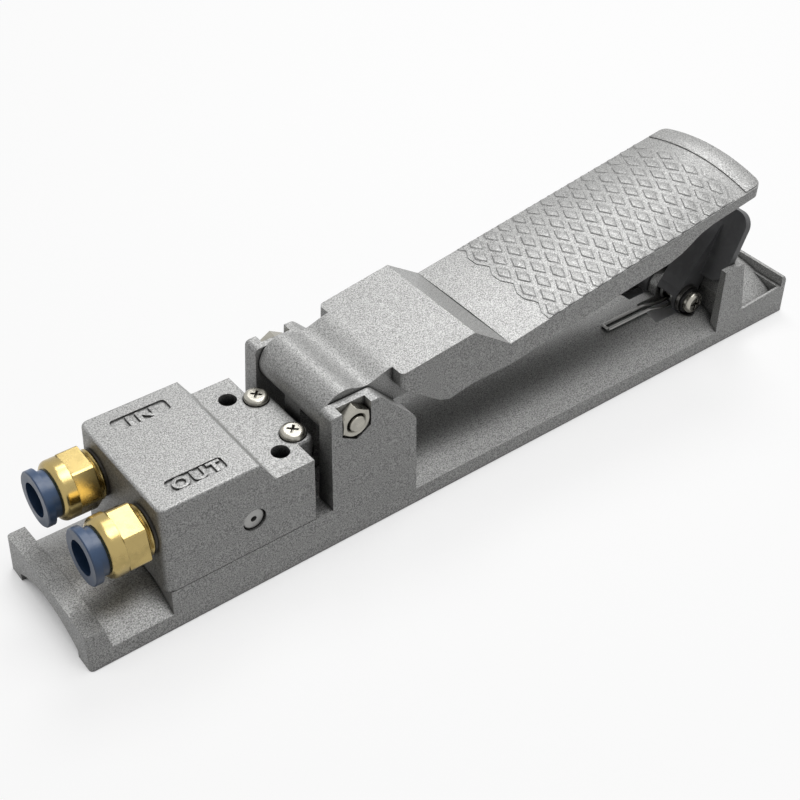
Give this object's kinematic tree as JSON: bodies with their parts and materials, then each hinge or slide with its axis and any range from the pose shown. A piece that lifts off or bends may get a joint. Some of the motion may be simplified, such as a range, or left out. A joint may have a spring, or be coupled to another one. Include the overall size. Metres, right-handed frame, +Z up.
{
  "type": "sandblaster control handle",
  "caption": "Pneumatic control handle for a blast hose: saddle base, air valve with push-in tube fittings, hinged squeeze lever and fold-away lever lock.",
  "frame": {"origin": "middle of the base's length and width, on the plane of its two feet", "axes": "+X from the fittings to the lever's tip, +Y across the hose towards the inlet, +Z up from the feet"},
  "size_m": [0.221, 0.037, 0.0521],
  "materials": {
    "cast_aluminium": "blasted and clear coated, fine grain",
    "dark_enamel": "smooth dark grey enamel",
    "plain_steel": "ground",
    "black_washer": "black oxide",
    "nickel_plate": "bright nickel",
    "bronze": "sintered",
    "bright_brass": "turned bright brass",
    "blue_plastic": "moulded slate blue",
    "black_rubber": "moulded",
    "thread_sealant": "sealing ring",
    "spring_wire": "drawn wire"
  },
  "bodies": {
    "base": {"base_casting": "cast_aluminium", "valve_body": "cast_aluminium", "body_screws": "nickel_plate", "vent_plug": "nickel_plate", "spool_guide": "bronze", "wiper_seal": "black_rubber", "spool_spring": "spring_wire", "hinge_bolt": "nickel_plate", "hinge_nut": "nickel_plate", "lever_return_spring": "spring_wire", "inlet_fitting": "bright_brass", "inlet_thread_seal": "thread_sealant", "inlet_grab_ring": "spring_wire", "inlet_tube_seal": "black_rubber", "outlet_fitting": "bright_brass", "outlet_thread_seal": "thread_sealant", "outlet_grab_ring": "spring_wire", "outlet_tube_seal": "black_rubber", "lock_spring": "spring_wire", "lock_bush": "plain_steel", "lock_washer": "black_washer", "lock_pivot_screw": "nickel_plate", "lock_nut": "nickel_plate"},
    "lever": {"handle_lever": "cast_aluminium", "hinge_bushes": "bronze"},
    "lock": {"lever_lock": "dark_enamel"},
    "spool": {"valve_spool": "plain_steel", "spool_seals": "black_rubber"},
    "inlet_ring": {"inlet_release_ring": "blue_plastic"},
    "outlet_ring": {"outlet_release_ring": "blue_plastic"}
  },
  "joints": [
    {"name": "lever_pivot", "type": "hinge", "parent": "base", "child": "lever", "pos_m": [-0.0417, 0, 0.0327], "axis": [0, 1, 0], "range_deg": [0, 7], "stiffness_Nm_per_rad": 0.5, "springref_deg": -20.05, "deforming": ["lever_return_spring"]},
    {"name": "lock_pivot", "type": "hinge", "parent": "base", "child": "lock", "pos_m": [0.0775, 0, 0.012], "axis": [0, 1, 0], "range_deg": [-108, 0], "stiffness_Nm_per_rad": 0.003, "springref_deg": 28.65, "deforming": ["lock_spring"]},
    {"name": "spool_slide", "type": "slide", "parent": "base", "child": "spool", "axis": [-1, 0, 0], "range_m": [0, 0.0021], "stiffness_N_per_m": 300, "springref_m": -0.003, "deforming": ["spool_spring"]},
    {"name": "inlet_ring_press", "type": "slide", "parent": "base", "child": "inlet_ring", "axis": [1, 0, 0], "range_m": [0, 0.001], "stiffness_N_per_m": 300, "springref_m": -0.002},
    {"name": "outlet_ring_press", "type": "slide", "parent": "base", "child": "outlet_ring", "axis": [1, 0, 0], "range_m": [0, 0.001], "stiffness_N_per_m": 300, "springref_m": -0.002}
  ],
  "couplings": [
    {"joint": "lock_pivot", "follows": "lever_pivot", "ratio": -15.3},
    {"joint": "spool_slide", "follows": "lever_pivot", "m_per_rad": 0.016}
  ]
}
